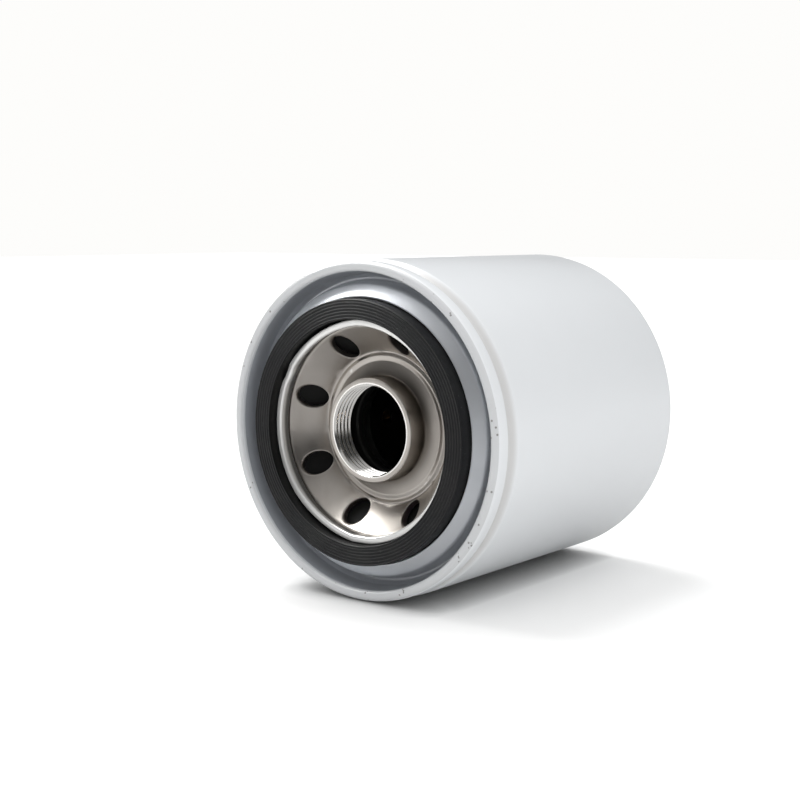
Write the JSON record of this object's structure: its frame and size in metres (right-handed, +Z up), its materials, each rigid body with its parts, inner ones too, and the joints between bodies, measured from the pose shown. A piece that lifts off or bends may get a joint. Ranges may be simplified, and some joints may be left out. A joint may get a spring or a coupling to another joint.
{
  "type": "oil filter",
  "caption": "Spin-on oil filter: painted can, ribbed gasket, dished plate with inlet holes and threaded neck, and a spring-held pleated element with bypass and anti-drain valves.",
  "frame": {"origin": "on the filter's axis, halfway between the gasket's sealing face and the closed end", "axes": "+Y along the axis from the open, threaded end to the closed end; +Z up, with the filter lying on its side; +X to the right"},
  "size_m": [0.093, 0.095, 0.093],
  "materials": {
    "can_paint": "semi-gloss white paint",
    "plate_paint": "semi-gloss blue-grey paint",
    "compound": "matt seam compound",
    "thread_plate_steel": "satin plated steel with drawing marks",
    "rubber": "matt black nitrile",
    "sheet_steel": "plain pressed steel",
    "spring_steel": "oiled spring wire",
    "adhesive": "cured end-cap adhesive",
    "filter_paper": "resin-treated pleated paper"
  },
  "bodies": {
    "housing": {"can": "can_paint", "seam_plate": "plate_paint", "seam_sealant": "compound", "thread_plate": "thread_plate_steel", "sealing_gasket": "rubber", "anti_drain_collar": "rubber", "support_spring": "spring_steel"},
    "anti_drain": {"anti_drain_flap": "rubber"},
    "element": {"upper_end_cap": "sheet_steel", "upper_potting": "adhesive", "pleated_media": "filter_paper", "pleat_clip": "sheet_steel", "centre_tube": "sheet_steel", "lower_potting": "adhesive", "lower_end_cap": "sheet_steel", "bypass_seat": "sheet_steel", "bypass_cage": "sheet_steel", "bypass_spring": "spring_steel", "spring_cup": "sheet_steel"},
    "bypass": {"bypass_poppet": "sheet_steel", "bypass_seal": "rubber"}
  },
  "joints": [
    {"name": "anti_drain_lift", "type": "slide", "parent": "housing", "child": "anti_drain", "axis": [0, 1, 0], "range_m": [0, 0.0015], "stiffness_N_per_m": 300},
    {"name": "element_float", "type": "slide", "parent": "housing", "child": "element", "axis": [0, 1, 0], "range_m": [0, 0.0015], "stiffness_N_per_m": 10000, "deforming": ["support_spring"]},
    {"name": "bypass_lift", "type": "slide", "parent": "element", "child": "bypass", "axis": [0, -1, 0], "range_m": [0, 0.004], "stiffness_N_per_m": 1500, "deforming": ["bypass_spring"]}
  ]
}
